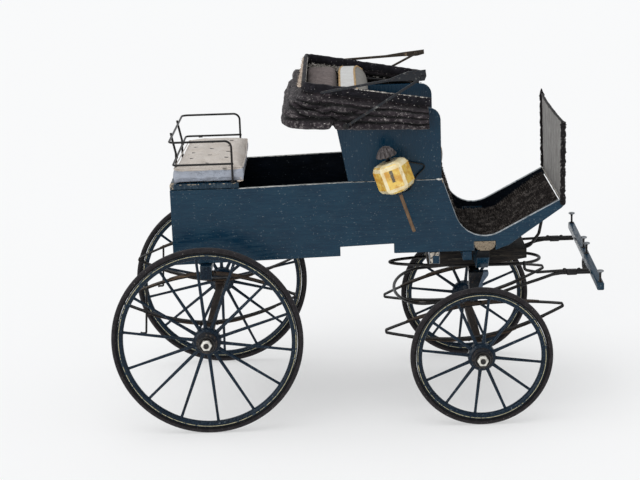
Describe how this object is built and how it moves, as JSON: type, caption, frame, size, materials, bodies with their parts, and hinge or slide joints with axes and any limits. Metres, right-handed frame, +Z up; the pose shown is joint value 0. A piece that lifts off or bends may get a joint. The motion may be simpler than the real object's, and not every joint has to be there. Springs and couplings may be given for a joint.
{
  "type": "phaeton scale model",
  "caption": "Scale model of an open horse-drawn phaeton: spoked wheels on leaf springs, a steering fore carriage, padded seats, two side lamps and a folded hood.",
  "frame": {"origin": "on the ground plane, under the middle of the model's bounding box", "axes": "+X to the front of the carriage, +Y to its left side, +Z up"},
  "size_m": [0.3604, 0.2012, 0.2622],
  "materials": {
    "navy_paint": "worn navy paint over wood",
    "dark_wood": "dark stained",
    "brown_paint": "worn brown paint",
    "grey_leather": "matt grey",
    "carpet": "felt",
    "dash_leather": "dull grey with a black stitched edge",
    "amber": "clear amber bead",
    "copper": "worn copper",
    "black_iron": "black",
    "hood_cloth": "dark waxed cloth",
    "spring_wood": "worn brown",
    "tyre_rubber": "matt dark grey"
  },
  "bodies": {
    "carriage": {"body_side_right": "navy_paint", "body_side_left": "navy_paint", "rear_panel": "navy_paint", "body_floor": "dark_wood", "rear_seat_board": "navy_paint", "rear_seat_cushion": "grey_leather", "rear_seat_rail": "black_iron", "seat_side_right": "navy_paint", "seat_side_left": "navy_paint", "seat_back_board": "navy_paint", "seat_board": "dark_wood", "seat_cushion": "grey_leather", "backrest_cushion": "grey_leather", "toe_board": "navy_paint", "toe_carpet": "carpet", "dash_leather": "dash_leather", "lamp_bead_right": "amber", "lamp_bead_left": "amber", "lamp_cap_right": "black_iron", "lamp_cap_left": "black_iron", "lamp_stem_right": "copper", "lamp_stem_left": "copper", "hood_cover": "hood_cloth", "hood_pivot_right": "black_iron", "hood_pivot_left": "black_iron", "stay_pin_right": "black_iron", "stay_pin_left": "black_iron", "rear_axle": "dark_wood", "rear_spring_right": "spring_wood", "rear_spring_left": "spring_wood", "rear_bolster": "navy_paint", "cross_bar_rear": "navy_paint", "cross_bar_front": "navy_paint", "perch_board": "brown_paint", "front_transom": "navy_paint", "upper_loop": "black_iron", "toe_stay": "black_iron", "king_bolt": "black_iron"},
    "fore_carriage": {"front_axle": "dark_wood", "front_bed": "navy_paint", "front_spring_right": "spring_wood", "front_spring_left": "spring_wood", "turntable_iron": "black_iron", "splinter_bar": "navy_paint", "pole_socket": "black_iron"},
    "hood_front": {"hood_bow_front": "black_iron"},
    "hood_middle": {"hood_bow_middle": "black_iron"},
    "hood_rear": {"hood_bow_rear": "black_iron"},
    "rear_wheel_right": {"rear_wheel_right": "navy_paint", "rear_tyre_right": "tyre_rubber"},
    "front_wheel_right": {"front_wheel_right": "navy_paint", "front_tyre_right": "tyre_rubber"},
    "stay_lower_right": {"hood_stay_lower_right": "black_iron"},
    "stay_upper_right": {"hood_stay_upper_right": "black_iron"},
    "rear_wheel_left": {"rear_wheel_left": "navy_paint", "rear_tyre_left": "tyre_rubber"},
    "front_wheel_left": {"front_wheel_left": "navy_paint", "front_tyre_left": "tyre_rubber"},
    "stay_lower_left": {"hood_stay_lower_left": "black_iron"},
    "stay_upper_left": {"hood_stay_upper_left": "black_iron"}
  },
  "joints": [
    {"name": "steer", "type": "hinge", "parent": "carriage", "child": "fore_carriage", "pos_m": [0.0892, 0, 0.09], "axis": [0, 0, 1], "range_deg": [-35, 35]},
    {"name": "rear_wheel_turn_right", "type": "hinge", "parent": "carriage", "child": "rear_wheel_right", "pos_m": [-0.11, -0.0865, 0.07], "axis": [0, 1, 0], "continuous": true},
    {"name": "front_wheel_turn_right", "type": "hinge", "parent": "fore_carriage", "child": "front_wheel_right", "pos_m": [0.0892, -0.0865, 0.052], "axis": [0, 1, 0], "continuous": true},
    {"name": "rear_wheel_turn_left", "type": "hinge", "parent": "carriage", "child": "rear_wheel_left", "pos_m": [-0.11, 0.0865, 0.07], "axis": [0, 1, 0], "continuous": true},
    {"name": "front_wheel_turn_left", "type": "hinge", "parent": "fore_carriage", "child": "front_wheel_left", "pos_m": [0.0892, 0.0865, 0.052], "axis": [0, 1, 0], "continuous": true},
    {"name": "hood", "type": "hinge", "parent": "carriage", "child": "hood_front", "pos_m": [0.053, 0, 0.227], "axis": [0, 1, 0], "range_deg": [0, 120], "deforming": ["hood_cover"]},
    {"name": "hood_middle", "type": "hinge", "parent": "carriage", "child": "hood_middle", "pos_m": [0.053, 0, 0.227], "axis": [0, 1, 0], "range_deg": [0, 87.7]},
    {"name": "hood_rear", "type": "hinge", "parent": "carriage", "child": "hood_rear", "pos_m": [0.053, 0, 0.227], "axis": [0, 1, 0], "range_deg": [0, 54.1]},
    {"name": "stay_lower_right", "type": "hinge", "parent": "carriage", "child": "stay_lower_right", "pos_m": [-0.0044, -0.0791, 0.2234], "axis": [0, 1, 0], "range_deg": [0, 27.8]},
    {"name": "stay_upper_right", "type": "hinge", "parent": "stay_lower_right", "child": "stay_upper_right", "pos_m": [0.0508, -0.0806, 0.25657], "axis": [0, 1, 0], "range_deg": [0, 111.1]},
    {"name": "stay_lower_left", "type": "hinge", "parent": "carriage", "child": "stay_lower_left", "pos_m": [-0.0044, 0.0791, 0.2234], "axis": [0, 1, 0], "range_deg": [0, 25.9]},
    {"name": "stay_upper_left", "type": "hinge", "parent": "stay_lower_left", "child": "stay_upper_left", "pos_m": [0.05323, 0.0806, 0.25213], "axis": [0, 1, 0], "range_deg": [0, 108.3]}
  ],
  "couplings": [
    {"joint": "hood_middle", "follows": "hood", "ratio": 0.73},
    {"joint": "hood_rear", "follows": "hood", "ratio": 0.45},
    {"joint": "stay_lower_right", "follows": "hood", "ratio": 0.2316},
    {"joint": "stay_upper_right", "follows": "hood", "ratio": 0.9258},
    {"joint": "stay_lower_left", "follows": "hood", "ratio": 0.2154},
    {"joint": "stay_upper_left", "follows": "hood", "ratio": 0.9022}
  ]
}
